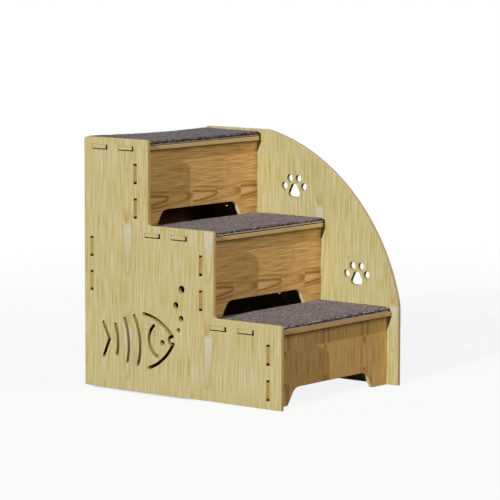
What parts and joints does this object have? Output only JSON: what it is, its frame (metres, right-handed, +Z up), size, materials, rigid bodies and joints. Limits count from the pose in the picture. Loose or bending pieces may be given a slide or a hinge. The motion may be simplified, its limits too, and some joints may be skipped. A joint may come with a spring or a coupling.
{
  "type": "pet stairs",
  "caption": "Flat-board pet steps with tab-and-slot joints, carpet mats on the treads, a stepped side with a fish skeleton cut-out and a tall curved guard side with paw cut-outs.",
  "frame": {"origin": "on the floor under the middle of the whole object's box", "axes": "+Z up; -Y is the front, where the lowest step is; the stepped side panel stands at -X and the tall guard panel at +X"},
  "size_m": [0.35, 0.45, 0.45],
  "materials": {
    "side_board": "pale yellow wood-grain board, satin",
    "tread_board": "light tan board with bare sanded edges",
    "riser_board": "warm tan wood-grain board, satin",
    "mat": "grey-mauve low loop pile carpet"
  },
  "bodies": {
    "root": {"left_side_panel": "side_board", "right_guard_panel": "side_board", "low_tread": "tread_board", "middle_tread": "tread_board", "top_tread": "tread_board", "low_riser": "riser_board", "middle_riser": "riser_board", "top_riser": "riser_board", "back_board": "riser_board", "low_mat": "mat", "middle_mat": "mat", "top_mat": "mat"}
  },
  "joints": []
}
